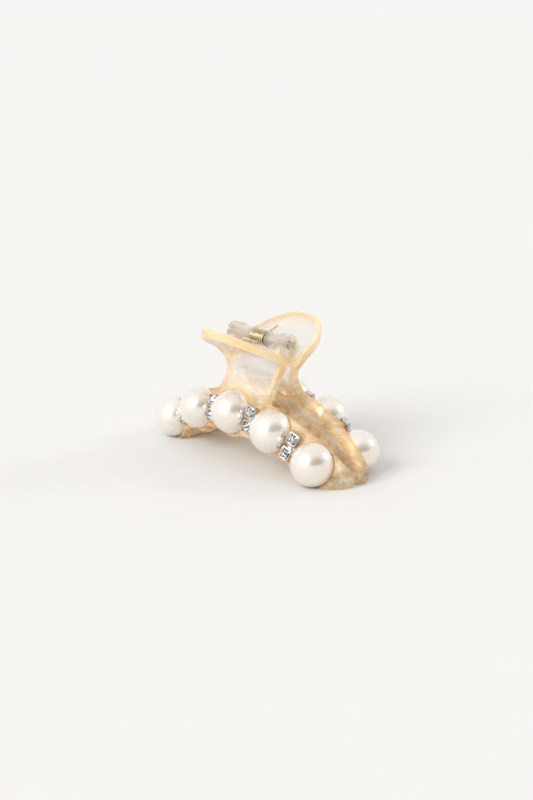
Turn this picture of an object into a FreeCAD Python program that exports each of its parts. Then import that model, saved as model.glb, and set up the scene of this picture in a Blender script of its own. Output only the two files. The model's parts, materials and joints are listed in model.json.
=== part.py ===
import FreeCAD, Part
import math
import os
import Sketcher

from FreeCAD import Placement, Rotation, Vector

# Claw clip in its own frame, millimetres.
# X runs along the hinge pin, +Z is up, Z = 0 is the table the closed clip stands on, Y = 0 is the plane
# where the two jaws meet. "out" is the distance from that plane towards a jaw's own side.
# Both jaws come from one mould: the back jaw is the front jaw turned half a turn about Z.

SIZES = [
    ("pearl_radius", 6.0),        # 12 mm imitation pearl
    ("pearl_cut", 4.2),           # flat back of a pearl, from its centre
    ("cup_gap", 0.05),            # glue film between a pearl and its cup
    ("arc_radius", 57.0),         # the row of pearls lies on this arc
    ("arc_tilt", 16.5),           # the arc's plane leans outward by this angle at the top
    ("row_out", 10.9),            # middle pearl centre, from the meeting plane
    ("row_up", 14.41),            # middle pearl centre, above the table
    ("pearl_step", 16.1),         # angle between neighbouring pearls on the arc
    ("end_angle", 43.0),          # half the angle that a jaw's rail covers
    ("end_half", 39.3),           # the closed rails' plan is an oval of this half length
    ("end_half_width", 17.5),     # and this half width, which rounds their ends
    ("neck_angle", 17.0),         # half the angle of the neck and tab before they are trimmed
    ("face_lean", 15.0),          # lean of the rail's outer face
    ("pin_up", 34.0),             # hinge axis above the table
    ("pin_radius", 1.0),
    ("pin_half", 12.45),          # half the pin's length between its peened heads
    ("head_radius", 1.4),
    ("head_height", 0.45),
    ("hole_gap", 0.05),           # running clearance round the pin
    ("ear_thickness", 2.0),
    ("outer_ear_start", 10.3),
    ("inner_ear_start", 8.1),
    ("boss_radius", 2.45),
    ("boss_end", 3.45),           # inner end of the boss that keeps the coil centred
    ("tab_half", 13.8),           # half the width of the thumb tab
    ("tab_centre_out", 5.0),
    ("tab_reach", 12.3),          # from the tab's centre to its tip
    ("tooth_pitch", 5.0),         # angle between neighbouring teeth of one jaw
    ("gap_width", 2.7),
    ("gap_root_out", 3.9),
    ("gap_top", 13.2),
    ("gap_low", 4.0),
    ("gap_reach", 3.0),
    ("lobe_radius", 6.9),         # the rail's lower edge swells round each pearl
    ("lobe_floor", 3.9),
    ("lobe_depth", 3.0),
    ("pad_width", 3.6),           # a pad on the rail carries each crystal strip
    ("pad_length", 7.6),
    ("pad_depth", 4.5),
    ("pad_out", 10.9),            # top of the middle pads, from the meeting plane
    ("strip_turn", 0.5),          # share of the arc's angle by which a strip turns back upright
    ("tooth_cross", 1.0),         # how far a tooth may reach past the meeting plane
    ("tooth_trim_top", 20.0),
    ("end_trim_start", 29.4),     # past this distance along X the jaws end flush at the meeting plane
    ("end_trim_gap", 0.2),
    ("wire_radius", 0.36),
    ("coil_radius", 1.85),
    ("coil_pitch", 0.74),
    ("coil_turns", 8.0),
    ("leg_angle", 22.5),          # a spring leg's rise above the horizontal
    ("leg_length", 8.9),
    ("cup_side", 3.4),
    ("cup_pitch", 3.9),
    ("cup_floor", 0.4),
    ("cup_height", 1.35),
    ("cup_wall", 0.28),
    ("claw_side", 0.62),
    ("claw_height", 1.85),
    ("link_width", 0.9),
    ("stone_radius", 1.35),
    ("stone_table", 0.8),
    ("girdle_up", 1.3),
    ("stone_top", 2.0),
    ("culet_up", 0.45),
    ("room", 60.0),               # larger than the clip, for trimming tools
]

# Corners of the sections and outlines, each as (name, across, up).
# Section of the rail and teeth at the clip's middle: across is out.
RAIL = [
    ("rail_top_outer", 7.3, 19.5),
    ("rail_low_outer", 11.8, 9.5),
    ("rail_under", 10.6, 8.5),
    ("tooth_under", 0.2, 7.3),
    ("tooth_tip", -1.0, 8.4),
    ("tooth_top", 1.4, 10.2),
    ("tooth_root", 5.0, 13.0),
    ("rail_top_inner", 4.9, 17.8),
]
# Section of the neck and thumb tab: across is out.
NECK = [
    ("neck_base_outer", 9.3, 17.0),
    ("neck_low_outer", 9.35, 18.61),
    ("neck_outer", 4.3, 27.3),
    ("tab_bend_outer", 7.15, 31.68),
    ("tab_tip_low", 17.3, 36.2),
    ("tab_tip_high", 16.9, 38.6),
    ("tab_bend_inner", 6.17, 33.88),
    ("neck_inner", 1.9, 27.3),
    ("neck_low_inner", 5.7, 18.37),
    ("neck_base_inner", 5.7, 16.0),
]
# Outline of the neck from the front: across is X.
OUTLINE = [
    ("waist_low", 15.74, 12.1),
    ("waist_high", 12.49, 27.24),
    ("shoulder", 13.8, 31.0),
    ("outline_top", 13.8, 45.0),
]
# Profile of an ear: across is out.
EAR = [
    ("ear_back", -2.5, 32.53),
    ("ear_foot", 2.5, 27.6),
    ("ear_wall", 3.2, 29.6),
    ("ear_shoulder", 4.6, 31.6),
    ("ear_front", 2.54, 35.4),
]
ARCS = [
    ("rail_face_arc", 17.0),
    ("rail_edge_arc", 1.3),
    ("tooth_under_arc", 22.0),
    ("tooth_tip_arc", 1.1),
    ("neck_outer_arc", 10.0),
    ("bend_outer_arc", 4.8),
    ("bend_inner_arc", 7.2),
    ("neck_inner_arc", 12.4),
    ("waist_arc", 10.0),
    ("shoulder_arc", 6.0),
    ("ear_arc", 2.9),
]

OUT_PLANE = Rotation(Vector(0, -1, 0), Vector(0, 0, 1), Vector(-1, 0, 0), "XYZ")
FRONT_PLANE = Rotation(Vector(1, 0, 0), Vector(0, 0, 1), Vector(0, -1, 0), "XYZ")
HALF_TURN = Placement(Vector(0, 0, 0), Rotation(Vector(0, 0, 1), 180))
SIDES = [("front", Placement()), ("back", HALF_TURN)]

doc = FreeCAD.newDocument("claw_clip")
sheet = doc.addObject("Spreadsheet::Sheet", "sizes")
subparts = []


def fill_sheet():
    rows = list(SIZES) + list(ARCS)
    for name, across, up in RAIL + NECK + OUTLINE + EAR:
        rows.append((name + "_across", across))
        rows.append((name + "_up", up))
    for number, (name, value) in enumerate(rows, start=1):
        sheet.set("A%d" % number, name)
        sheet.set("B%d" % number, str(value))
        sheet.setAlias("B%d" % number, name)
    doc.recompute()


def size(name):
    return float(sheet.get(name))


def bind(thing, **links):
    """Bind properties of an object to formulas of sheet cells."""
    for prop, formula in links.items():
        thing.setExpression(prop, formula)


def cell(name):
    return "sizes." + name


def add(kind, name, placement=None, **links):
    thing = doc.addObject(kind, name)
    bind(thing, **links)
    if placement is not None:
        thing.Placement = placement
    return thing


def subpart(thing, label):
    thing.Label = label
    subparts.append(thing)
    return thing


def cut(name, base, tool):
    result = doc.addObject("Part::Cut", name)
    result.Base = base
    result.Tool = tool
    return result


def fuse(name, shapes):
    result = doc.addObject("Part::MultiFuse", name)
    result.Shapes = shapes
    return result


def common(name, shapes):
    result = doc.addObject("Part::MultiCommon", name)
    result.Shapes = shapes
    return result


def arc_between(start, end, radius, left):
    """Arc from start to end with its centre on the left or the right of the way."""
    chord = end - start
    middle = (start + end) * 0.5
    rise = math.sqrt(max(radius * radius - chord.Length * chord.Length / 4, 0))
    side = Vector(-chord.y, chord.x, 0).normalize()
    centre = middle + side * (rise if left else -rise)
    first = math.atan2(start.y - centre.y, start.x - centre.x)
    last = math.atan2(end.y - centre.y, end.x - centre.x)
    circle = Part.Circle(centre, Vector(0, 0, 1), radius)
    if left:
        return Part.ArcOfCircle(circle, first, last)
    return Part.ArcOfCircle(circle, last, first)


def corner_sketch(name, rotation, path):
    """Closed sketch through named corners. An entry is (corner, arc, left): arc names the radius of the
    edge that leaves the corner, or is None for a straight edge, and left says on which side of the way
    its centre lies. A leading minus sign puts a corner on the other side of the clip's middle."""
    sketch = doc.addObject("Sketcher::SketchObject", name)
    sketch.Placement = Placement(Vector(0, 0, 0), rotation)
    corners = []
    for corner, _, _ in path:
        plain = corner.lstrip("-")
        across = size(plain + "_across")
        corners.append(Vector(-across if corner.startswith("-") else across, size(plain + "_up"), 0))
    starts = []
    for number, (corner, arc, left) in enumerate(path):
        start = corners[number]
        end = corners[(number + 1) % len(path)]
        if arc is None:
            edge = sketch.addGeometry(Part.LineSegment(start, end))
            starts.append((edge, 1, 2))
        else:
            edge = sketch.addGeometry(arc_between(start, end, size(arc), left))
            starts.append((edge, 1, 2) if left else (edge, 2, 1))
            held = sketch.addConstraint(Sketcher.Constraint("Radius", edge, size(arc)))
            sketch.setExpression("Constraints[%d]" % held, cell(arc))
    for number, (corner, _, _) in enumerate(path):
        edge, start, _ = starts[number]
        before, _, end = starts[number - 1]
        sketch.addConstraint(Sketcher.Constraint("Coincident", before, end, edge, start))
        for kind, value, key in (
            ("DistanceX", corners[number].x, "_across"),
            ("DistanceY", corners[number].y, "_up"),
        ):
            held = sketch.addConstraint(Sketcher.Constraint(kind, -1, 1, edge, start, value))
            sign = "-" if corner.startswith("-") and kind == "DistanceX" else ""
            sketch.setExpression("Constraints[%d]" % held, sign + cell(corner.lstrip("-") + key))
    return sketch


def arc_centre():
    tilt = math.radians(size("arc_tilt"))
    radius = size("arc_radius")
    out = size("row_out") - radius * math.sin(tilt)
    return Vector(0, -out, size("row_up") - radius * math.cos(tilt))


def arc_axis():
    """Axis of the arc of the front jaw's pearls, pointing forward and down."""
    tilt = math.radians(size("arc_tilt"))
    return Vector(0, -math.cos(tilt), -math.sin(tilt))


def along_arc(angle, placement):
    """The placement carried along the front jaw's arc by an angle, towards +X when positive."""
    return Placement(Vector(0, 0, 0), Rotation(arc_axis() * -1, angle), arc_centre()) * placement


def leaning(out):
    """A frame on the rail's outer face at the clip's middle: local Z points out of the face, local Y
    points up it and local X runs along the hinge."""
    lean = math.radians(size("face_lean"))
    face = Vector(0, -math.cos(lean), math.sin(lean))
    up = Vector(0, math.sin(lean), math.cos(lean))
    return Placement(Vector(0, -out, size("row_up")), Rotation(Vector(1, 0, 0), up, face, "XYZ"))


def revolve(name, sketch, angle):
    thing = add("Part::Revolution", name, Angle="2 * " + cell(angle))
    thing.Source = sketch
    thing.Axis = arc_axis()
    thing.Base = arc_centre()
    thing.Symmetric = True
    thing.Solid = True
    return thing


def extrude(name, sketch, direction, length):
    thing = add("Part::Extrusion", name, LengthFwd=length)
    thing.Base = sketch
    thing.DirMode = "Custom"
    thing.Dir = direction
    thing.Solid = True
    return thing


def jaw_rail(side):
    sketch = corner_sketch(
        side + "_rail_section",
        OUT_PLANE,
        [
            ("rail_top_outer", "rail_face_arc", False),
            ("rail_low_outer", "rail_edge_arc", False),
            ("rail_under", "tooth_under_arc", False),
            ("tooth_under", "tooth_tip_arc", False),
            ("tooth_tip", None, False),
            ("tooth_top", None, False),
            ("tooth_root", None, False),
            ("rail_top_inner", None, False),
        ],
    )
    swept = revolve(side + "_rail_sweep", sketch, "end_angle")
    bar = fuse(side + "_rail_bar", [swept] + pearl_lobes(side) + strip_pads(side))
    oval = add(
        "Part::Ellipse",
        side + "_rail_oval",
        MajorRadius=cell("end_half"),
        MinorRadius=cell("end_half_width"),
    )
    oval.Placement = Placement(Vector(0, 0, -size("room") / 2), Rotation())
    return common(side + "_rail", [bar, extrude(side + "_rail_trim", oval, Vector(0, 0, 1), cell("room"))])


def pearl_lobes(side):
    """Half-round swellings of the rail's lower edge, one behind each pearl."""
    lobes = []
    for number in range(-2, 3):
        place = along_arc(number * size("pearl_step"), leaning(size("row_out")))
        lobes.append(
            add(
                "Part::Cylinder",
                "%s_lobe_%d" % (side, number + 3),
                place * Placement(Vector(0, 0, -size("lobe_floor")), Rotation(Vector(0, 0, 1), 180)),
                Radius=cell("lobe_radius"),
                Height=cell("lobe_depth"),
                Angle="180",
            )
        )
    return lobes


def jaw_neck(side):
    section = corner_sketch(
        side + "_neck_section",
        OUT_PLANE,
        [
            ("neck_base_outer", None, False),
            ("neck_low_outer", "neck_outer_arc", False),
            ("neck_outer", "bend_outer_arc", False),
            ("tab_bend_outer", None, False),
            ("tab_tip_low", None, False),
            ("tab_tip_high", None, False),
            ("tab_bend_inner", "bend_inner_arc", True),
            ("neck_inner", "neck_inner_arc", True),
            ("neck_low_inner", None, False),
            ("neck_base_inner", None, False),
        ],
    )
    sheet_of_neck = revolve(side + "_neck_sweep", section, "neck_angle")
    outline = corner_sketch(
        side + "_neck_outline",
        FRONT_PLANE,
        [
            ("waist_low", "waist_arc", False),
            ("waist_high", "shoulder_arc", True),
            ("shoulder", None, False),
            ("outline_top", None, False),
            ("-outline_top", None, False),
            ("-shoulder", "shoulder_arc", True),
            ("-waist_high", "waist_arc", False),
            ("-waist_low", None, False),
        ],
    )
    front_trim = extrude(side + "_neck_trim", outline, Vector(0, -1, 0), cell("room"))
    oval = add(
        "Part::Ellipse",
        side + "_tab_oval",
        Placement(Vector(0, -size("tab_centre_out"), 0), Rotation()),
        MajorRadius=cell("tab_half"),
        MinorRadius=cell("tab_reach"),
    )
    plan_trim = extrude(side + "_tab_trim", oval, Vector(0, 0, 1), cell("room"))
    return common(side + "_neck", [sheet_of_neck, front_trim, plan_trim])


def jaw_ears(side):
    """The outer ear on the +X side, and on the other side the inner ear with its boss."""
    path = [
        ("ear_back", None, False),
        ("ear_foot", None, False),
        ("ear_wall", None, False),
        ("ear_shoulder", None, False),
        ("ear_front", "ear_arc", True),
    ]
    pieces = []
    for which, start in (
        ("outer", size("outer_ear_start") + size("ear_thickness")),
        ("inner", -size("inner_ear_start")),
    ):
        sketch = corner_sketch("%s_%s_ear_profile" % (side, which), OUT_PLANE, path)
        sketch.Placement = Placement(Vector(start, 0, 0), OUT_PLANE)
        name = "%s_%s_ear" % (side, which)
        pieces.append(extrude(name, sketch, Vector(-1, 0, 0), cell("ear_thickness")))
    boss = add(
        "Part::Cylinder",
        side + "_boss",
        Placement(Vector(-size("boss_end"), 0, size("pin_up")), Rotation(Vector(0, 1, 0), -90)),
        Radius=cell("boss_radius"),
        Height=cell("inner_ear_start") + " - " + cell("boss_end") + " + " + cell("ear_thickness") + " / 2",
    )
    pieces.append(boss)
    return pieces


def pin_hole(side):
    return add(
        "Part::Cylinder",
        side + "_pin_hole",
        Placement(Vector(-size("room") / 2, 0, size("pin_up")), Rotation(Vector(0, 1, 0), 90)),
        Radius=cell("pin_radius") + " + " + cell("hole_gap"),
        Height=cell("room"),
    )


def pearl_cups(side):
    tools = []
    for number in range(-2, 3):
        place = along_arc(number * size("pearl_step"), leaning(size("row_out")))
        tools.append(
            add(
                "Part::Sphere",
                "%s_pearl_cup_%d" % (side, number + 3),
                place,
                Radius=cell("pearl_radius") + " + " + cell("cup_gap"),
                Angle1="-asin((%s + %s) / (%s + %s))"
                % (cell("pearl_cut"), cell("cup_gap"), cell("pearl_radius"), cell("cup_gap")),
            )
        )
    return tools


def strip_angles():
    step = size("pearl_step")
    return [-1.5 * step, -0.5 * step, 0.5 * step, 1.5 * step]


def on_pad(angle):
    """A frame on top of the pad at an angle along the arc, with local Y along the strip."""
    upright = Placement(Vector(0, 0, 0), Rotation(Vector(0, 0, 1), angle * size("strip_turn")))
    return along_arc(angle, leaning(size("pad_out"))) * upright


def strip_pads(side):
    """Blocks that rise from the rail between the pearls, one under each crystal strip."""
    pads = []
    for number, angle in enumerate(strip_angles(), start=1):
        corner = Vector(-size("pad_width") / 2, -size("pad_length") / 2, -size("pad_depth"))
        pads.append(
            add(
                "Part::Box",
                "%s_pad_%d" % (side, number),
                on_pad(angle) * Placement(corner, Rotation()),
                Length=cell("pad_width"),
                Width=cell("pad_length"),
                Height=cell("pad_depth"),
            )
        )
    return pads


def tooth_gaps(side):
    """Round-ended slots between the teeth. They sit a quarter of a pitch off the middle, so that the
    turned jaw's teeth fall into them."""
    tools = []
    pitch = size("tooth_pitch")
    for number in range(15):
        angle = -36.25 + number * pitch
        low = size("gap_low")
        box = Placement(Vector(-size("gap_width") / 2, -size("gap_root_out"), low), Rotation())
        tools.append(
            add(
                "Part::Box",
                "%s_gap_%d" % (side, number + 1),
                along_arc(angle, box),
                Length=cell("gap_width"),
                Width=cell("gap_root_out") + " + " + cell("gap_reach"),
                Height=cell("gap_top") + " - " + cell("gap_low"),
            )
        )
        root = Placement(Vector(0, -size("gap_root_out"), low), Rotation())
        tools.append(
            add(
                "Part::Cylinder",
                "%s_gap_root_%d" % (side, number + 1),
                along_arc(angle, root),
                Radius=cell("gap_width") + " / 2",
                Height=cell("gap_top") + " - " + cell("gap_low"),
            )
        )
    return tools


def trims(side):
    """Tools that take off what lies under the table and what reaches too far past the meeting plane."""
    room = size("room")
    table = add(
        "Part::Box",
        side + "_table_trim",
        Placement(Vector(-room, -room, -room), Rotation()),
        Length="2 * " + cell("room"),
        Width="2 * " + cell("room"),
        Height=cell("room"),
    )
    teeth = add(
        "Part::Box",
        side + "_tooth_trim",
        Placement(Vector(-room, size("tooth_cross"), -room), Rotation()),
        Length="2 * " + cell("room"),
        Width=cell("room"),
        Height=cell("room") + " + " + cell("tooth_trim_top"),
    )
    tools = [table, teeth]
    for name, start in (("right", size("end_trim_start")), ("left", -size("end_trim_start") - room)):
        tools.append(
            add(
                "Part::Box",
                "%s_%s_end_trim" % (side, name),
                Placement(Vector(start, -size("end_trim_gap"), -room / 2), Rotation()),
                Length=cell("room"),
                Width=cell("room"),
                Height=cell("room"),
            )
        )
    return tools


def make_jaw(side, turn):
    solid = fuse(side + "_solid", [jaw_rail(side), jaw_neck(side)] + jaw_ears(side))
    tools = pearl_cups(side) + tooth_gaps(side) + trims(side) + [pin_hole(side)]
    jaw = cut(side + "_jaw_cut", solid, fuse(side + "_jaw_tools", tools))
    jaw.Placement = turn
    subpart(jaw, side + "_jaw")


def make_pin():
    along = Rotation(Vector(0, 1, 0), 90)
    up = size("pin_up")
    half = size("pin_half")
    shaft = add(
        "Part::Cylinder",
        "pin_shaft",
        Placement(Vector(-half, 0, up), along),
        Radius=cell("pin_radius"),
        Height="2 * " + cell("pin_half"),
    )
    heads = []
    for name, start in (("right", half), ("left", -half - size("head_height"))):
        heads.append(
            add(
                "Part::Cylinder",
                "pin_%s_head" % name,
                Placement(Vector(start, 0, up), along),
                Radius=cell("head_radius"),
                Height=cell("head_height"),
            )
        )
    subpart(fuse("pin_fused", [shaft] + heads), "hinge_pin")


def make_spring():
    """Coil about the pin with a straight leg at each end, one against each thumb tab."""
    rise = size("leg_angle")
    turns = size("coil_turns") + 2 * rise / 360
    height = turns * size("coil_pitch")
    start = Rotation(Vector(1, 0, 0), 270 + rise)
    base = Rotation(Vector(0, 1, 0), Vector(0, 0, 1), Vector(1, 0, 0), "XYZ")
    frame = Placement(Vector(-height / 2, 0, size("pin_up")), start * base)
    helix = add(
        "Part::Helix",
        "coil_path",
        frame,
        Pitch=cell("coil_pitch"),
        Height="(%s + 2 * %s / 360) * %s" % (cell("coil_turns"), cell("leg_angle"), cell("coil_pitch")),
        Radius=cell("coil_radius"),
    )
    helix.LocalCoord = "Left-handed"
    section = add(
        "Part::Circle",
        "wire_section",
        frame * Placement(Vector(size("coil_radius"), 0, 0), Rotation(Vector(1, 0, 0), 90)),
        Radius=cell("wire_radius"),
    )
    coil = doc.addObject("Part::Sweep", "coil")
    coil.Sections = [section]
    coil.Spine = (helix, ["Edge1"])
    coil.Solid = True
    coil.Frenet = True
    legs = []
    for name, along, sign in (("back", -height / 2, 1), ("front", height / 2, -1)):
        angle = math.radians(rise)
        radius = size("coil_radius")
        foot = Vector(along, sign * math.sin(angle) * radius, size("pin_up") - math.cos(angle) * radius)
        way = Vector(0, sign * math.cos(angle), math.sin(angle))
        legs.append(
            add(
                "Part::Cylinder",
                "leg_" + name,
                Placement(foot, Rotation(Vector(0, 0, 1), way)),
                Radius=cell("wire_radius"),
                Height=cell("leg_length"),
            )
        )
    subpart(fuse("spring_fused", [coil] + legs), "torsion_spring")


def make_pearls(side, turn):
    for number in range(-2, 3):
        place = turn * along_arc(number * size("pearl_step"), leaning(size("row_out")))
        pearl = add(
            "Part::Sphere",
            "%s_bead_%d" % (side, number + 3),
            place,
            Radius=cell("pearl_radius"),
            Angle1="-asin(%s / %s)" % (cell("pearl_cut"), cell("pearl_radius")),
        )
        subpart(pearl, "%s_pearl_%d" % (side, number + 3))


def setting_boxes(name, place):
    """Floors, walls and claws of two square cups and the link between them."""
    solids = []
    hollows = []
    side = size("cup_side")
    for number, shift in ((1, -size("cup_pitch") / 2), (2, size("cup_pitch") / 2)):
        corner = place * Placement(Vector(-side / 2, shift - side / 2, 0), Rotation())
        solids.append(
            add(
                "Part::Box",
                "%s_cup_%d" % (name, number),
                corner,
                Length=cell("cup_side"),
                Width=cell("cup_side"),
                Height=cell("cup_height"),
            )
        )
        hollows.append(
            add(
                "Part::Cone",
                "%s_bowl_%d" % (name, number),
                place * Placement(Vector(0, shift, size("cup_floor")), Rotation()),
                Radius1=cell("cup_wall"),
                Radius2=cell("cup_side") + " / 2 - " + cell("cup_wall") + " / 2",
                Height=cell("cup_height") + " - " + cell("cup_floor") + " + 0.01",
            )
        )
        reach = side / 2 - size("claw_side") / 2
        for claw, (dx, dy) in enumerate(((-1, -1), (1, -1), (1, 1), (-1, 1)), start=1):
            centre = Vector(dx * reach, shift + dy * reach, 0)
            foot = centre - Vector(size("claw_side") / 2, size("claw_side") / 2, 0)
            solids.append(
                add(
                    "Part::Box",
                    "%s_claw_%d_%d" % (name, number, claw),
                    place * Placement(foot, Rotation()),
                    Length=cell("claw_side"),
                    Width=cell("claw_side"),
                    Height=cell("claw_height"),
                )
            )
    link = add(
        "Part::Box",
        name + "_link",
        place * Placement(Vector(-size("link_width") / 2, -size("cup_pitch") / 2, 0), Rotation()),
        Length=cell("link_width"),
        Width=cell("cup_pitch"),
        Height=cell("cup_floor"),
    )
    solids.append(link)
    return solids, hollows


def stone_solids(name, place):
    """Two round cut stones: a crown cone over a pavilion cone."""
    stones = []
    for number, shift in ((1, -size("cup_pitch") / 2), (2, size("cup_pitch") / 2)):
        pavilion = add(
            "Part::Cone",
            "%s_pavilion_%d" % (name, number),
            place * Placement(Vector(0, shift, size("culet_up")), Rotation()),
            Radius1="0.1",
            Radius2=cell("stone_radius"),
            Height=cell("girdle_up") + " - " + cell("culet_up"),
        )
        crown = add(
            "Part::Cone",
            "%s_crown_%d" % (name, number),
            place * Placement(Vector(0, shift, size("girdle_up")), Rotation()),
            Radius1=cell("stone_radius"),
            Radius2=cell("stone_table"),
            Height=cell("stone_top") + " - " + cell("girdle_up"),
        )
        stones.append(fuse("%s_stone_%d" % (name, number), [pavilion, crown]))
    return stones


def make_strips(side, turn):
    """A strip is a two-cup metal setting on its pad, and its pair of stones."""
    for number, angle in enumerate(strip_angles(), start=1):
        place = turn * on_pad(angle)
        name = "%s_strip_%d" % (side, number)
        solids, hollows = setting_boxes(name, place)
        stones = stone_solids(name, place)
        body = fuse(name + "_body", solids)
        setting = cut(name + "_setting", body, fuse(name + "_hollows", hollows + stones))
        subpart(setting, "%s_crystal_setting_%d" % (side, number))
        pair = doc.addObject("Part::Compound", name + "_pair")
        pair.Links = stones
        subpart(pair, "%s_crystals_%d" % (side, number))


def check_document():
    for thing in doc.Objects:
        if "Invalid" in thing.State or "Error" in thing.State:
            raise RuntimeError("%s failed: %s" % (thing.Name, thing.State))
    for thing in subparts:
        if thing.Shape.isNull() or not thing.Shape.isValid():
            raise RuntimeError("%s has no valid shape" % thing.Label)


def write_steps():
    os.makedirs("parts", exist_ok=True)
    for thing in subparts:
        thing.Shape.exportStep("parts/%s.step" % thing.Label)
        print("%s: %d solid(s), %.1f mm3" % (thing.Label, len(thing.Shape.Solids), thing.Shape.Volume))


def main():
    fill_sheet()
    for side, turn in SIDES:
        make_jaw(side, turn)
        make_pearls(side, turn)
        make_strips(side, turn)
    make_pin()
    make_spring()
    doc.recompute()
    check_document()
    write_steps()


main()
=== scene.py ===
import json
import math

import bmesh
import bpy
import numpy as np
from mathutils import Matrix, Quaternion, Vector


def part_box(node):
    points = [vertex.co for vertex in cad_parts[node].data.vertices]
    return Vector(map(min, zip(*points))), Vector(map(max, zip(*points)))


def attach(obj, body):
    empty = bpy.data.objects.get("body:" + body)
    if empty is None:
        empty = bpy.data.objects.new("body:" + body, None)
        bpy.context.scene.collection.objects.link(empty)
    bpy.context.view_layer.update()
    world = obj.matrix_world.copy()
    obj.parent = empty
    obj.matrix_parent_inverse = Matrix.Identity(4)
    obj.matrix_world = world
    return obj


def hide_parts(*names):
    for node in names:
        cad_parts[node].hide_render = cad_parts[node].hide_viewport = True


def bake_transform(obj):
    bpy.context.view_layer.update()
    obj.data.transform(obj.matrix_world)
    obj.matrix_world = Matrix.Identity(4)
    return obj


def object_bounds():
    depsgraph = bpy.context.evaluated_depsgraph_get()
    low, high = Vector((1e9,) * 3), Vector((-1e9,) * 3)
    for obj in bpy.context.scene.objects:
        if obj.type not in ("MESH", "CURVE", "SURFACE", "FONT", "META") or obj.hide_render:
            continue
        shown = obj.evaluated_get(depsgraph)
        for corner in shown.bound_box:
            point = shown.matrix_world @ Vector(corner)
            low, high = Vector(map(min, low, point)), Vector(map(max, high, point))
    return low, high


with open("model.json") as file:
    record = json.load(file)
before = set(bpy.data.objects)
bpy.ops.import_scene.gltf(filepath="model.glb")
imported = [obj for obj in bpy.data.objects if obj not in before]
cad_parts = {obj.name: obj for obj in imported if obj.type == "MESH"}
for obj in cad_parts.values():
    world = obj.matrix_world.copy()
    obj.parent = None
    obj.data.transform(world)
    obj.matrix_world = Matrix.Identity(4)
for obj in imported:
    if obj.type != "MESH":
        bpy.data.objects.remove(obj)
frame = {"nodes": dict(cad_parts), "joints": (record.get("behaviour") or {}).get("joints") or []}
cad_low, cad_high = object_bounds()

MM = 0.001
SIDES = ("front", "back")
PEARLS = range(1, 6)
STRIPS = range(1, 5)
HINGE = Vector(frame["joints"][0]["pos_m"])

# Camera, which looks down on the clip from its front right corner
VIEW_AZIMUTH = math.radians(50.03)
VIEW_ELEVATION = math.radians(16.0)
VIEW_ROLL = math.radians(-0.65)
VIEW_DISTANCE = 0.380
VIEW_AIM = Vector((0.64, 1.08, 15.70)) * MM
LENS = 60.27
SENSOR_WIDTH = 36.0

# Studio
FLOOR_REACH = 30.0
FLOOR_GAP = 0.02 * MM
STUDIO_WHITE = (0.922, 0.913, 0.896, 1)
STUDIO_SHADE = (0.34, 0.29, 0.24, 1)
SHADE_SIDE = (0.93, -0.22, 0.20)    # towards the darker side of the studio
LIGHT_BOUNCES = 28                  # enough for light to leave the thick acrylic

# Moulded acrylic
VOXEL = 0.24 * MM              # fine enough for the 1.75 mm teeth
MOULD_SMOOTHING = 5            # smoothing passes, which round the moulded edges by about 0.4 mm
EDGE_GLOW_ATTRIBUTE = "edge_glow"                    # point attribute, the mask of the painted edge glow: 1 along the moulding's edges, 0 on its faces
EDGE_GLOW_SPREAD = 30                # neighbours over which the painted edge glow spreads
EDGE_GLOW_FROM = 0.022               # spread turn of the surface at which the painted edge glow starts
EDGE_GLOW_FULL = 0.045               # and at which it is full
HINGE_EDGE_GLOW = 0.25               # share of the painted edge glow left on the small ears at the hinge
CLEAR_ABOVE = 0.0255           # above this height the moulding is thin and clear
MILKY_BELOW = 0.0195           # below this height it is thick and milky
STREAK_WAVER = 0.012           # height over which the streaks shift that change

# Cup chain
CUP_SIDE = 3.3 * MM
CUP_HEIGHT = 1.3 * MM
CUP_WALL = 0.3 * MM
CLAW_WIDTH = 0.62 * MM
CLAW_TOP = 1.75 * MM
CLAW_LEVELS = (                # height, lean towards the stone, share of the claw's width
    (0.2 * MM, 0.0, 1.0),
    (1.2 * MM, 0.0, 1.0),
    (1.55 * MM, 0.14 * MM, 0.9),
    (CLAW_TOP, 0.38 * MM, 0.5),
)
CLAW_SIDES = 10
CUP_FLOOR = 0.4 * MM
LINK_WIDTH = 0.9 * MM
STONE_RADIUS = 1.38 * MM
STONE_FACETS = 8
STONE_RINGS = (                # share of the radius, height, turn in facets
    (0.52, 1.98 * MM, 0.0),
    (0.80, 1.72 * MM, 0.5),
    (1.0, 1.38 * MM, 0.0),
    (1.0, 1.26 * MM, 0.0),
    (0.55, 0.85 * MM, 0.5),
)
CULET_UP = 0.45 * MM

# Pearls
PEARL_ROWS = 44
PEARL_SIDES = 72

# Hinge pin
SHAFT_RADIUS = 1.0 * MM
HEAD_THICKNESS = 0.45 * MM
HEAD_PROFILE = (               # share of the head's radius, share of its thickness from the outer end
    (0, 0.22),
    (0.35, 0.22),
    (0.5, 0.05),
    (0.72, 0.0),
    (0.92, 0.08),
    (1.0, 0.25),
)
PIN_SIDES = 48

# Spring wire
WIRE_RADIUS = 0.33 * MM        # a hair under the design's, so that the turns read apart
COIL_RADIUS = 1.85 * MM
COIL_TURNS = 8
LEG_RISE = math.radians(22.5)
WIRE_SIDES = 14
POINTS_PER_TURN = 40
LEG_STEPS = 16
TIP_RINGS = 3
TIP_LENGTH = 0.6               # share of the wire's radius by which its ends are domed


# ------------------------------------------------------------------ camera and lights


def make_camera():
    flat = math.cos(VIEW_ELEVATION)
    back = Vector((math.sin(VIEW_AZIMUTH) * flat, -math.cos(VIEW_AZIMUTH) * flat, math.sin(VIEW_ELEVATION)))
    data = bpy.data.cameras.new("camera")
    data.lens = LENS
    data.sensor_width = SENSOR_WIDTH
    data.clip_start = 0.01
    data.clip_end = 100.0
    camera = bpy.data.objects.new("camera", data)
    camera.rotation_mode = "QUATERNION"
    camera.rotation_quaternion = Quaternion(back, VIEW_ROLL) @ (-back).to_track_quat("-Z", "Y")
    camera.location = VIEW_AIM + back * VIEW_DISTANCE
    bpy.context.scene.collection.objects.link(camera)
    bpy.context.scene.camera = camera


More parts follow.
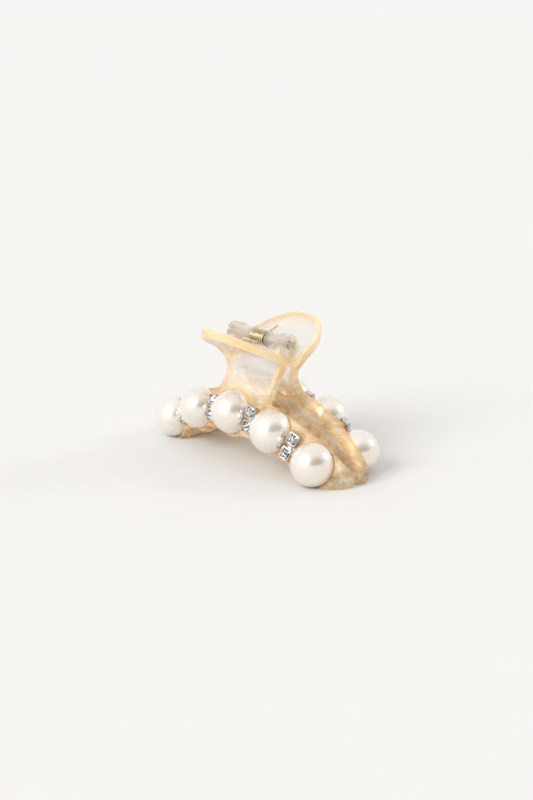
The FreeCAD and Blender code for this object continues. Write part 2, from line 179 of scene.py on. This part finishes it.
def make_sun(name, towards, power, width, colour):
    """A far soft light: towards points from the clip to the light."""
    data = bpy.data.lights.new(name, "SUN")
    data.energy = power
    data.angle = math.radians(width)
    data.color = colour
    sun = bpy.data.objects.new(name, data)
    sun.rotation_mode = "QUATERNION"
    sun.rotation_quaternion = Vector(towards).to_track_quat("Z", "Y")
    bpy.context.scene.collection.objects.link(sun)


def make_world():
    """A white studio with one darker side, which starts above the horizon."""
    world = bpy.data.worlds.new("studio")
    bpy.context.scene.world = world
    world.use_nodes = True
    tree = world.node_tree
    tree.nodes.clear()
    place = tree.nodes.new("ShaderNodeTexCoord")
    toward = tree.nodes.new("ShaderNodeVectorMath")
    toward.operation = "DOT_PRODUCT"
    toward.inputs[1].default_value = Vector(SHADE_SIDE).normalized()
    tree.links.new(place.outputs["Generated"], toward.inputs[0])
    split = tree.nodes.new("ShaderNodeSeparateXYZ")
    tree.links.new(place.outputs["Generated"], split.inputs["Vector"])
    above = spread(tree, split.outputs["Z"], 0.0, 1.0, start=0.08, end=0.30, smooth=True)
    level = arithmetic(tree, "MULTIPLY", toward.outputs["Value"], above)
    ramp = tree.nodes.new("ShaderNodeValToRGB")
    ramp.color_ramp.interpolation = "EASE"
    ramp.color_ramp.elements[0].position = 0.55
    ramp.color_ramp.elements[0].color = STUDIO_WHITE
    ramp.color_ramp.elements[1].position = 0.97
    ramp.color_ramp.elements[1].color = STUDIO_SHADE
    tree.links.new(level, ramp.inputs["Fac"])
    light = tree.nodes.new("ShaderNodeBackground")
    out = tree.nodes.new("ShaderNodeOutputWorld")
    tree.links.new(ramp.outputs["Color"], light.inputs["Color"])
    tree.links.new(light.outputs["Background"], out.inputs["Surface"])


def make_floor():
    mesh = bpy.data.meshes.new("floor")
    reach = FLOOR_REACH
    corners = [(-reach, -reach, 0), (reach, -reach, 0), (reach, reach, 0), (-reach, reach, 0)]
    mesh.from_pydata(corners, [], [(0, 1, 2, 3)])
    floor = bpy.data.objects.new("floor", mesh)
    floor.location.z = cad_low.z - FLOOR_GAP
    bpy.context.scene.collection.objects.link(floor)
    mesh.materials.append(floor_material())


# ------------------------------------------------------------------ materials


def new_material(name):
    material = bpy.data.materials.new(name)
    material.use_nodes = True
    tree = material.node_tree
    return material, tree, tree.nodes["Principled BSDF"]


def object_noise(tree, scale, detail=4.0, stretch=(1, 1, 1), distortion=0.0):
    """Noise in the clip's own frame; stretch widens it along an axis."""
    place = tree.nodes.new("ShaderNodeTexCoord")
    mapping = tree.nodes.new("ShaderNodeMapping")
    mapping.inputs["Scale"].default_value = [1 / s for s in stretch]
    noise = tree.nodes.new("ShaderNodeTexNoise")
    noise.inputs["Scale"].default_value = scale
    noise.inputs["Detail"].default_value = detail
    noise.inputs["Distortion"].default_value = distortion
    tree.links.new(place.outputs["Object"], mapping.inputs["Vector"])
    tree.links.new(mapping.outputs["Vector"], noise.inputs["Vector"])
    return noise.outputs["Fac"]


def ramp_of(tree, value, stops):
    """Colour ramp over (position, colour) stops."""
    ramp = tree.nodes.new("ShaderNodeValToRGB")
    while len(ramp.color_ramp.elements) < len(stops):
        ramp.color_ramp.elements.new(0.5)
    for element, (position, colour) in zip(ramp.color_ramp.elements, stops):
        element.position = position
        element.color = (*colour, 1)
    tree.links.new(value, ramp.inputs["Fac"])
    return ramp.outputs["Color"]


def put(tree, socket, value):
    """Link a socket's value in, or set a number on it."""
    if isinstance(value, (int, float)):
        socket.default_value = value
    else:
        tree.links.new(value, socket)


def arithmetic(tree, operation, *values):
    node = tree.nodes.new("ShaderNodeMath")
    node.operation = operation
    for socket, value in zip(node.inputs, values):
        put(tree, socket, value)
    return node.outputs[0]


def spread(tree, value, low, high, start=0.0, end=1.0, smooth=False):
    """Goes from low to high as the value goes from start to end, and stays there beyond."""
    node = tree.nodes.new("ShaderNodeMapRange")
    if smooth:
        node.interpolation_type = "SMOOTHSTEP"
    ends = (("From Min", start), ("From Max", end), ("To Min", low), ("To Max", high))
    for socket, limit in ends:
        put(tree, node.inputs[socket], limit)
    put(tree, node.inputs["Value"], value)
    return node.outputs["Result"]


def noise_spread(tree, noise, low, high):
    """The middle of a noise's range spread over low to high."""
    return spread(tree, noise, low, high, start=0.3, end=0.7)


def bump_from(tree, shader, value, height, strength=1.0):
    bump = tree.nodes.new("ShaderNodeBump")
    bump.inputs["Strength"].default_value = strength
    bump.inputs["Distance"].default_value = height
    tree.links.new(value, bump.inputs["Height"])
    tree.links.new(bump.outputs["Normal"], shader.inputs["Normal"])


def mixed(tree, share, first, second):
    """Colour that goes from first to second as share goes from 0 to 1."""
    mix = tree.nodes.new("ShaderNodeMix")
    mix.data_type = "RGBA"
    tree.links.new(share, mix.inputs["Factor"])
    tree.links.new(first, mix.inputs[6])
    tree.links.new(second, mix.inputs[7])
    return mix.outputs[2]


def milkiness(tree, streaks):
    """0 in the clear upper part of a jaw, 1 in its thick rail, with a streaky change between them."""
    place = tree.nodes.new("ShaderNodeTexCoord")
    split = tree.nodes.new("ShaderNodeSeparateXYZ")
    tree.links.new(place.outputs["Object"], split.inputs["Vector"])
    waver = arithmetic(tree, "MULTIPLY_ADD", streaks, -STREAK_WAVER, split.outputs["Z"])
    start = CLEAR_ABOVE - STREAK_WAVER / 2
    end = MILKY_BELOW - STREAK_WAVER / 2
    return spread(tree, waver, 0.0, 1.0, start=start, end=end, smooth=True)


def acrylic_material():
    """Champagne acrylic: clear in the thin tabs and necks, with a painted orange-gold edge glow along every
    edge that stands in for light carried through the tinted acrylic, and cloudy gold in the thick rails,
    with streaks along the moulding where the melt flowed."""
    material, tree, shader = new_material("champagne_acrylic")
    shader.inputs["IOR"].default_value = 1.45
    streaks = object_noise(tree, 240.0, 5.0, stretch=(5.0, 1.2, 1.0), distortion=0.6)
    milk = milkiness(tree, streaks)
    edge_glow = tree.nodes.new("ShaderNodeAttribute")
    edge_glow.attribute_name = EDGE_GLOW_ATTRIBUTE
    clear = ramp_of(tree, streaks, [(0.35, (0.96, 0.93, 0.925)), (0.65, (0.99, 0.97, 0.965))])
    gold = ramp_of(
        tree,
        streaks,
        [(0.32, (1.0, 0.81, 0.51)), (0.5, (1.0, 0.90, 0.70)), (0.68, (1.0, 0.96, 0.88))],
    )
    # painted edge glow: orange-gold that stands in for light carried through the tinted acrylic to its
    # edges
    edge = ramp_of(tree, streaks, [(0.35, (0.99, 0.66, 0.31)), (0.65, (1.0, 0.80, 0.51))])
    body = mixed(tree, milk, clear, gold)
    tree.links.new(mixed(tree, edge_glow.outputs["Fac"], body, edge), shader.inputs["Base Color"])
    cloud = object_noise(tree, 330.0, 4.0, stretch=(3.0, 1.0, 1.0), distortion=1.2)
    # the painted edge glow also makes the edges less see-through, so that its colour shows
    for socket, thin, thin_glow_edge, milky_low, milky_high in (
        ("Transmission Weight", 0.85, 0.30, 0.65, 0.30),
        ("Alpha", 0.50, 0.85, 0.50, 0.82),
    ):
        thick = noise_spread(tree, cloud, milky_low, milky_high)
        glow_edged = spread(tree, edge_glow.outputs["Fac"], thin, thin_glow_edge)
        tree.links.new(spread(tree, milk, glow_edged, thick), shader.inputs[socket])
    tree.links.new(noise_spread(tree, streaks, 0.03, 0.09), shader.inputs["Roughness"])
    bump_from(tree, shader, object_noise(tree, 420.0, 3.0, stretch=(4.0, 1.0, 1.0)), 0.04 * MM, 0.6)
    return material


def pearl_material():
    """Imitation pearl: cream lacquer with a slow cloudiness under a clear satin coat."""
    material, tree, shader = new_material("pearl_lacquer")
    clouds = object_noise(tree, 160.0, 3.0)
    colour = ramp_of(tree, clouds, [(0.3, (0.87, 0.80, 0.725)), (0.7, (0.93, 0.87, 0.805))])
    tree.links.new(colour, shader.inputs["Base Color"])
    tree.links.new(noise_spread(tree, clouds, 0.22, 0.30), shader.inputs["Roughness"])
    shader.inputs["Metallic"].default_value = 0.72
    shader.inputs["Specular IOR Level"].default_value = 0.7
    shader.inputs["Coat Weight"].default_value = 1.0
    shader.inputs["Coat Roughness"].default_value = 0.04
    shader.inputs["Coat IOR"].default_value = 1.7
    bump_from(tree, shader, object_noise(tree, 1500.0, 3.0), 0.01 * MM, 0.25)
    return material


def metal_material(name, dark, light, roughness, grain, height):
    """Polished or drawn metal with fine wear in colour, gloss and relief."""
    material, tree, shader = new_material(name)
    wear = object_noise(tree, grain, 5.0)
    tree.links.new(ramp_of(tree, wear, [(0.35, dark), (0.65, light)]), shader.inputs["Base Color"])
    tree.links.new(noise_spread(tree, wear, roughness * 0.7, roughness * 1.4), shader.inputs["Roughness"])
    shader.inputs["Metallic"].default_value = 1.0
    bump_from(tree, shader, wear, height, 0.5)
    return material


def spring_material():
    """Drawn brass wire, with painted shade in the grooves between the turns: near-black towards the coil's
    axis, brass on the turns' crests.
    """
    material, tree, shader = new_material("drawn_brass")
    wear = object_noise(tree, 1500.0, 5.0)
    bright = ramp_of(tree, wear, [(0.35, (0.62, 0.52, 0.30)), (0.65, (0.90, 0.80, 0.56))])
    # painted shade: a near-black brass colour for the grooves, where the neighbouring turns shade the wire
    groove_shade = ramp_of(tree, wear, [(0.35, (0.07, 0.055, 0.03)), (0.65, (0.16, 0.125, 0.07))])
    place = tree.nodes.new("ShaderNodeTexCoord")
    offset = tree.nodes.new("ShaderNodeVectorMath")
    offset.operation = "SUBTRACT"
    offset.inputs[1].default_value = HINGE
    flat = tree.nodes.new("ShaderNodeVectorMath")
    flat.operation = "MULTIPLY"
    flat.inputs[1].default_value = (0, 1, 1)
    reach = tree.nodes.new("ShaderNodeVectorMath")
    reach.operation = "LENGTH"
    tree.links.new(place.outputs["Object"], offset.inputs[0])
    tree.links.new(offset.outputs["Vector"], flat.inputs[0])
    tree.links.new(flat.outputs["Vector"], reach.inputs[0])
    # the painted groove shade is full inside half a wire's radius beyond the coil's centre line and gone at
    # the wire's outer crest
    groove = COIL_RADIUS + 0.50 * WIRE_RADIUS
    crest = COIL_RADIUS + 0.95 * WIRE_RADIUS
    out_of_shade = spread(tree, reach.outputs["Value"], 0.0, 1.0, start=groove, end=crest)
    tree.links.new(mixed(tree, out_of_shade, groove_shade, bright), shader.inputs["Base Color"])
    tree.links.new(noise_spread(tree, wear, 0.16, 0.32), shader.inputs["Roughness"])
    shader.inputs["Metallic"].default_value = 1.0
    bump_from(tree, shader, wear, 0.02 * MM, 0.5)
    return material


def stone_material():
    """Cut glass with a foil back, its base colour painted in patches of bright glints and dark reflections,
    so that the stones read as either bright or dark.
    """
    material, tree, shader = new_material("cut_glass")
    sparkle = object_noise(tree, 2600.0, 2.0)
    # painted glints: near-black and white patches that stand in for the facets' reflections
    glints = [(0.44, (0.05, 0.05, 0.055)), (0.50, (0.55, 0.55, 0.56)), (0.56, (1, 1, 1))]
    tree.links.new(ramp_of(tree, sparkle, glints), shader.inputs["Base Color"])
    tree.links.new(noise_spread(tree, sparkle, 0.02, 0.10), shader.inputs["Roughness"])
    shader.inputs["Metallic"].default_value = 0.9
    shader.inputs["Coat Weight"].default_value = 1.0
    shader.inputs["Coat Roughness"].default_value = 0.02
    return material


def floor_material():
    material, tree, shader = new_material("pale_table")
    grain = object_noise(tree, 90.0, 3.0)
    colour = ramp_of(tree, grain, [(0.3, (0.728, 0.724, 0.722)), (0.7, (0.732, 0.728, 0.726))])
    tree.links.new(colour, shader.inputs["Base Color"])
    shader.inputs["Roughness"].default_value = 0.9
    shader.inputs["Specular IOR Level"].default_value = 0.1
    return material


# ------------------------------------------------------------------ mesh helpers


def new_piece(name, verts, faces, materials, body, smooth=True):
    mesh = bpy.data.meshes.new(name)
    mesh.from_pydata(verts, [], faces)
    mesh.update()
    for polygon in mesh.polygons:
        polygon.use_smooth = smooth
    for material in materials:
        mesh.materials.append(material)
    piece = bpy.data.objects.new(name, mesh)
    bpy.context.scene.collection.objects.link(piece)
    if body:
        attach(piece, body)
    return piece


def node_points(node):
    mesh = frame["nodes"][node].data
    points = np.empty(len(mesh.vertices) * 3)
    mesh.vertices.foreach_get("co", points)
    return points.reshape(-1, 3)


def fitted_mesh(piece):
    """The piece's mesh with its modifiers applied."""
    graph = bpy.context.evaluated_depsgraph_get()
    return bpy.data.meshes.new_from_object(piece.evaluated_get(graph))


def lathe(profile, base, axis, sides):
    """Closed surface of revolution: profile is (radius, height) from one pole to the other."""
    axis = axis.normalized()
    across = axis.orthogonal().normalized()
    other = axis.cross(across)
    verts = []
    faces = []
    rings = []
    for radius, height in profile:
        centre = base + axis * height
        if radius == 0:
            rings.append([len(verts)])
            verts.append(centre)
            continue
        rings.append(list(range(len(verts), len(verts) + sides)))
        for step in range(sides):
            angle = 2 * math.pi * step / sides
            verts.append(centre + (across * math.cos(angle) + other * math.sin(angle)) * radius)
    for low, high in zip(rings, rings[1:]):
        for step in range(sides):
            after = (step + 1) % sides
            if len(low) == 1:
                faces.append((low[0], high[after], high[step]))
            elif len(high) == 1:
                faces.append((low[step], low[after], high[0]))
            else:
                faces.append((low[step], low[after], high[after], high[step]))
    return verts, faces


# ------------------------------------------------------------------ the two jaws


def mark_edge_glow(mesh):
    """Store on each point how sharply the surface turns there, spread a little over its neighbours, as the
    mask of the painted edge glow.
    """
    count = len(mesh.vertices)
    normals = np.empty(count * 3)
    mesh.vertices.foreach_get("normal", normals)
    normals = normals.reshape(-1, 3)
    edges = np.empty(len(mesh.edges) * 2, dtype=int)
    mesh.edges.foreach_get("vertices", edges)
    first, second = edges.reshape(-1, 2).T
    turn = np.linalg.norm(normals[first] - normals[second], axis=1)
    share = np.bincount(np.concatenate([first, second]), minlength=count)
    sharpness = np.concatenate([turn, turn])
    value = np.bincount(np.concatenate([first, second]), weights=sharpness, minlength=count) / share
    for _ in range(EDGE_GLOW_SPREAD):
        total = np.bincount(first, weights=value[second], minlength=count)
        total += np.bincount(second, weights=value[first], minlength=count)
        value = 0.5 * value + 0.5 * total / share
    value = np.clip((value - EDGE_GLOW_FROM) / (EDGE_GLOW_FULL - EDGE_GLOW_FROM), 0, 1)
    points = np.empty(count * 3)
    mesh.vertices.foreach_get("co", points)
    from_hinge = np.linalg.norm(points.reshape(-1, 3)[:, 1:] - np.array(HINGE)[1:], axis=1)
    value *= np.clip((from_hinge - 2.8 * MM) / (1.5 * MM), HINGE_EDGE_GLOW, 1)
    mesh.attributes.new(EDGE_GLOW_ATTRIBUTE, "FLOAT", "POINT").data.foreach_set("value", value)


def make_jaw(side, material):
    """The jaw's moulding, its edges rounded as a polished moulding's are."""
    node = side + "_jaw"
    mesh = frame["nodes"][node].data.copy()
    mesh.name = side + "_jaw_moulding"
    piece = bpy.data.objects.new(side + "_jaw_moulding", mesh)
    bpy.context.scene.collection.objects.link(piece)
    weld = piece.modifiers.new("weld", "WELD")
    weld.merge_threshold = 0.001 * MM
    remesh = piece.modifiers.new("remesh", "REMESH")
    remesh.mode = "VOXEL"
    remesh.voxel_size = VOXEL
    smooth = piece.modifiers.new("round", "SMOOTH")
    smooth.factor = 0.5
    smooth.iterations = MOULD_SMOOTHING
    final = fitted_mesh(piece)
    piece.modifiers.clear()
    piece.data = final
    final.materials.clear()
    final.materials.append(material)
    for polygon in final.polygons:
        polygon.use_smooth = True
    mark_edge_glow(final)
    bpy.data.meshes.remove(mesh)
    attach(piece, side)
    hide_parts(node)


# ------------------------------------------------------------------ pearls


def pearl_sphere(node):
    """Centre and radius of the pearl, from the points on its round surface."""
    points = node_points(node)
    table = np.hstack([2 * points, np.ones((len(points), 1))])
    answer = np.linalg.lstsq(table, (points ** 2).sum(1), rcond=None)[0]
    centre = answer[:3]
    return Vector(centre), math.sqrt(answer[3] + centre @ centre)


def pearl_axis(node):
    """Outward direction of the pearl, away from its flat glued back."""
    mesh = frame["nodes"][node].data
    normals = np.empty(len(mesh.polygons) * 3)
    areas = np.empty(len(mesh.polygons))
    mesh.polygons.foreach_get("normal", normals)
    mesh.polygons.foreach_get("area", areas)
    normals = normals.reshape(-1, 3)
    centre, radius = pearl_sphere(node)
    middles = np.array([polygon.center for polygon in mesh.polygons])
    flat = np.linalg.norm(middles - np.array(centre), axis=1) < radius * 0.97
    return -Vector((normals[flat] * areas[flat, None]).sum(0)).normalized()


def make_pearl(side, number, material):
    node = "%s_pearl_%d" % (side, number)
    centre, radius = pearl_sphere(node)
    axis = pearl_axis(node)
    cut = max((centre - Vector(point)).dot(axis) for point in node_points(node))
    start = math.acos(cut / radius)
    profile = [(0, -cut)]
    for row in range(PEARL_ROWS):
        angle = start + (math.pi - start) * row / PEARL_ROWS
        profile.append((radius * math.sin(angle), -radius * math.cos(angle)))
    profile.append((0, radius))
    verts, faces = lathe(profile, centre, axis, PEARL_SIDES)
    piece = new_piece(node + "_bead", verts, faces, [material], side)
    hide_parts(node)


# ------------------------------------------------------------------ crystal strips


def strip_frame(side, number):
    """Matrix of a strip: local X across it, Y along it, Z out of the rail's face, zero on its pad."""
    low = "%s_pearl_%d" % (side, number)
    high = "%s_pearl_%d" % (side, number + 1)
    across = (pearl_sphere(high)[0] - pearl_sphere(low)[0]).normalized()
    out = (pearl_axis(low) + pearl_axis(high)).normalized()
    out = (out - across * out.dot(across)).normalized()
    along = out.cross(across)
    points = node_points("%s_crystal_setting_%d" % (side, number))
    axes = np.array([across, along, out])
    local = points @ axes.T
    middle = (local.min(0) + local.max(0)) / 2
    origin = axes.T @ np.array([middle[0], middle[1], local[:, 2].min()])
    matrix = Matrix((across, along, out)).transposed().to_4x4()
    matrix.translation = Vector(origin)
    pitch = local[:, 1].max() - local[:, 1].min() - CUP_SIDE
    return matrix, pitch


def add_box(build, low, high, bevel):
    """A bevelled block between two corners."""
    made = bmesh.ops.create_cube(build, size=1.0)
    verts = made["verts"]
    middle = (Vector(low) + Vector(high)) / 2
    size = Vector(high) - Vector(low)
    for vert in verts:
        vert.co = middle + Vector([vert.co[k] * size[k] for k in range(3)])
    edges = list({edge for vert in verts for edge in vert.link_edges})
    bmesh.ops.bevel(build, geom=edges, offset=bevel, segments=2, affect="EDGES", profile=0.6)


def add_cup(build, shift):
    """A square cup: floor, four walls, and a claw at each corner bent in over the stone."""
    half = CUP_SIDE / 2
    bevel = 0.07 * MM
    add_box(build, (-half, shift - half, 0), (half, shift + half, CUP_FLOOR), bevel)
    for sign in (-1, 1):
        inner = half - CUP_WALL
        low, high = sorted((sign * inner, sign * half))
        add_box(build, (low, shift - half, 0), (high, shift + half, CUP_HEIGHT), bevel)
        add_box(build, (-half, shift + low, 0), (half, shift + high, CUP_HEIGHT), bevel)
    for x in (-1, 1):
        for y in (-1, 1):
            add_claw(build, x, y, shift)


def add_claw(build, x, y, shift):
    """A claw rises from the corner and leans in towards the stone."""
    rings = []
    for height, lean, width in CLAW_LEVELS:
        reach = CUP_SIDE / 2 - CLAW_WIDTH / 2 - lean
        centre = Vector((x * reach, shift + y * reach, height))
        ring = []
        for step in range(CLAW_SIDES):
            angle = 2 * math.pi * step / CLAW_SIDES
            arm = Vector((math.cos(angle), math.sin(angle), 0)) * CLAW_WIDTH / 2 * width
            ring.append(build.verts.new(centre + arm))
        rings.append(ring)
    for low, high in zip(rings, rings[1:]):
        for step in range(CLAW_SIDES):
            after = (step + 1) % CLAW_SIDES
            build.faces.new((low[step], low[after], high[after], high[step]))
    build.faces.new(list(reversed(rings[0])))
    build.faces.new(rings[-1])


def make_setting(side, number, material):
    node = "%s_crystal_setting_%d" % (side, number)
    matrix, pitch = strip_frame(side, number)
    build = bmesh.new()
    for shift in (-pitch / 2, pitch / 2):
        add_cup(build, shift)
    half = LINK_WIDTH / 2
    add_box(build, (-half, -pitch / 2, 0), (half, pitch / 2, CUP_FLOOR), 0.05 * MM)
    build.transform(matrix)
    mesh = bpy.data.meshes.new(node + "_cups")
    build.to_mesh(mesh)
    build.free()
    for polygon in mesh.polygons:
        polygon.use_smooth = False
    mesh.materials.append(material)
    piece = bpy.data.objects.new(node + "_cups", mesh)
    bpy.context.scene.collection.objects.link(piece)
    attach(piece, side)
    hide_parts(node)


def stone_mesh(shift, turn):
    """A brilliant-cut stone: table, star, kite and girdle facets above, pavilion facets below."""
    count = STONE_FACETS
    offsets = [offset for _, _, offset in STONE_RINGS]
    verts = []
    for share, height, offset in STONE_RINGS:
        radius = share * STONE_RADIUS
        for step in range(count):
            angle = turn + 2 * math.pi * (step + offset) / count
            verts.append(Vector((radius * math.cos(angle), shift + radius * math.sin(angle), height)))
    faces = [list(range(count))]
    for ring, (offset, following) in enumerate(zip(offsets, offsets[1:])):
        top = ring * count
        low = top + count
        for step in range(count):
            after = (step + 1) % count
            if offset == following:
                faces.append((top + step, low + step, low + after, top + after))
            elif following > offset:
                faces.append((top + step, low + step, top + after))
                faces.append((top + after, low + step, low + after))
            else:
                faces.append((top + step, low + after, top + after))
                faces.append((top + step, low + step, low + after))
    culet = len(verts)
    verts.append(Vector((0, shift, CULET_UP)))
    last = (len(offsets) - 1) * count
    for step in range(count):
        faces.append((last + step, culet, last + (step + 1) % count))
    return verts, faces


def make_stones(side, number, material):
    node = "%s_crystals_%d" % (side, number)
    matrix, pitch = strip_frame(side, number)
    verts = []
    faces = []
    for which, shift in enumerate((-pitch / 2, pitch / 2)):
        more, added = stone_mesh(shift, 0.2 + 0.31 * (number + 4 * which))
        faces += [[index + len(verts) for index in face] for face in added]
        verts += [matrix @ vert for vert in more]
    piece = new_piece(node + "_cut", verts, faces, [material], side, smooth=False)
    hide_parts(node)


# ------------------------------------------------------------------ pin and spring


def make_pin(material):
    """Brass pin: a plain shaft whose two ends are peened into low domes with a dimple."""
    low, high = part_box("hinge_pin")
    reach = (high.x - low.x) / 2
    head = (high.z - low.z) / 2
    thick = HEAD_THICKNESS
    profile = [(head * share, thick * depth - reach) for share, depth in HEAD_PROFILE]
    profile += [(head, 0.8 * thick - reach), (0.95 * head, thick - reach), (SHAFT_RADIUS, thick - reach)]
    profile += [(radius, -height) for radius, height in reversed(profile)]
    middle = Vector(((low.x + high.x) / 2, HINGE.y, HINGE.z))
    verts, faces = lathe(profile, middle, Vector((1, 0, 0)), PIN_SIDES)
    piece = new_piece("hinge_pin_peened", verts, faces, [material], "front")
    piece.data.set_sharp_from_angle(angle=math.radians(40))
    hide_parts("hinge_pin")


def spring_path():
    """Centre line of the wire: the back leg, the close coil and the front leg."""
    low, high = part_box("torsion_spring")
    half = (high.x - low.x) / 2 - WIRE_RADIUS
    swing = 2 * math.pi * COIL_TURNS + 2 * LEG_RISE
    steps = int(POINTS_PER_TURN * swing / (2 * math.pi))
    coil = []
    for step in range(steps + 1):
        share = step / steps
        angle = LEG_RISE - swing * share
        x = -half + 2 * half * share
        coil.append(HINGE + Vector((x, math.sin(angle) * COIL_RADIUS, -math.cos(angle) * COIL_RADIUS)))
    reach = high.y / math.cos(LEG_RISE) - COIL_RADIUS * math.tan(LEG_RISE) - WIRE_RADIUS
    legs = []
    for foot, sign in ((coil[0], 1), (coil[-1], -1)):
        way = Vector((0, sign * math.cos(LEG_RISE), math.sin(LEG_RISE)))
        legs.append([foot + way * reach * step / LEG_STEPS for step in range(LEG_STEPS, 0, -1)])
    return legs[0] + coil + list(reversed(legs[1]))


def wire_stations(points):
    """Rings along the wire as (point, way, share of the radius, share of the tip's length ahead)."""
    last = len(points) - 1
    rounding = [math.pi / 2 * step / TIP_RINGS for step in range(1, TIP_RINGS)]
    first_way = points[1] - points[0]
    last_way = points[-1] - points[-2]
    stations = [(points[0], first_way, math.sin(angle), -math.cos(angle)) for angle in rounding]
    for index, point in enumerate(points):
        way = points[min(index + 1, last)] - points[max(index - 1, 0)]
        stations.append((point, way, 1.0, 0.0))
    stations += [(points[-1], last_way, math.cos(angle), math.sin(angle)) for angle in rounding]
    return stations


def tube(points, radius, sides):
    """A round wire along the points, with rounded ends."""
    verts = []
    faces = []
    normal = Vector((1, 0, 0))
    rings = []
    for point, way, share, ahead in wire_stations(points):
        way = way.normalized()
        normal = (normal - way * normal.dot(way)).normalized()
        side = way.cross(normal)
        ring = []
        for step in range(sides):
            angle = 2 * math.pi * step / sides
            ring.append(len(verts))
            arm = (normal * math.cos(angle) + side * math.sin(angle)) * radius * share
            verts.append(point + way * radius * ahead * TIP_LENGTH + arm)
        rings.append(ring)
    for low, high in zip(rings, rings[1:]):
        for step in range(sides):
            after = (step + 1) % sides
            faces.append((low[step], low[after], high[after], high[step]))
    faces.append(list(reversed(rings[0])))
    faces.append(rings[-1])
    return verts, faces


def make_spring(material):
    """The wire: a leg reaching along each jaw and the close coil between them."""
    path = spring_path()
    verts, faces = tube(path, WIRE_RADIUS, WIRE_SIDES)
    piece = new_piece("torsion_spring_wire", verts, faces, [material], None)
    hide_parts("torsion_spring")
    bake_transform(piece)


# ------------------------------------------------------------------ build


def main():
    bpy.context.scene.view_settings.view_transform = "Standard"
    bpy.context.scene.cycles.max_bounces = LIGHT_BOUNCES
    bpy.context.scene.cycles.transmission_bounces = LIGHT_BOUNCES
    make_camera()
    make_world()
    make_sun("key_softbox", (-0.01, -0.822, 0.565), 2.0, 38.0, (1.0, 0.99, 0.97))
    make_sun("back_softbox", (0.378, 0.795, 0.472), 0.35, 14.0, (1.0, 1.0, 1.0))
    make_floor()
    acrylic = acrylic_material()
    pearl = pearl_material()
    cups = metal_material("silver_plate", (0.50, 0.50, 0.51), (0.86, 0.86, 0.87), 0.16, 1800.0, 0.02 * MM)
    stones = stone_material()
    for side in SIDES:
        make_jaw(side, acrylic)
        for number in PEARLS:
            make_pearl(side, number, pearl)
        for number in STRIPS:
            make_setting(side, number, cups)
            make_stones(side, number, stones)
    brass = spring_material()
    gold = metal_material("pin_brass", (0.34, 0.29, 0.20), (0.74, 0.66, 0.50), 0.18, 1200.0, 0.01 * MM)
    make_pin(gold)
    make_spring(brass)


main()
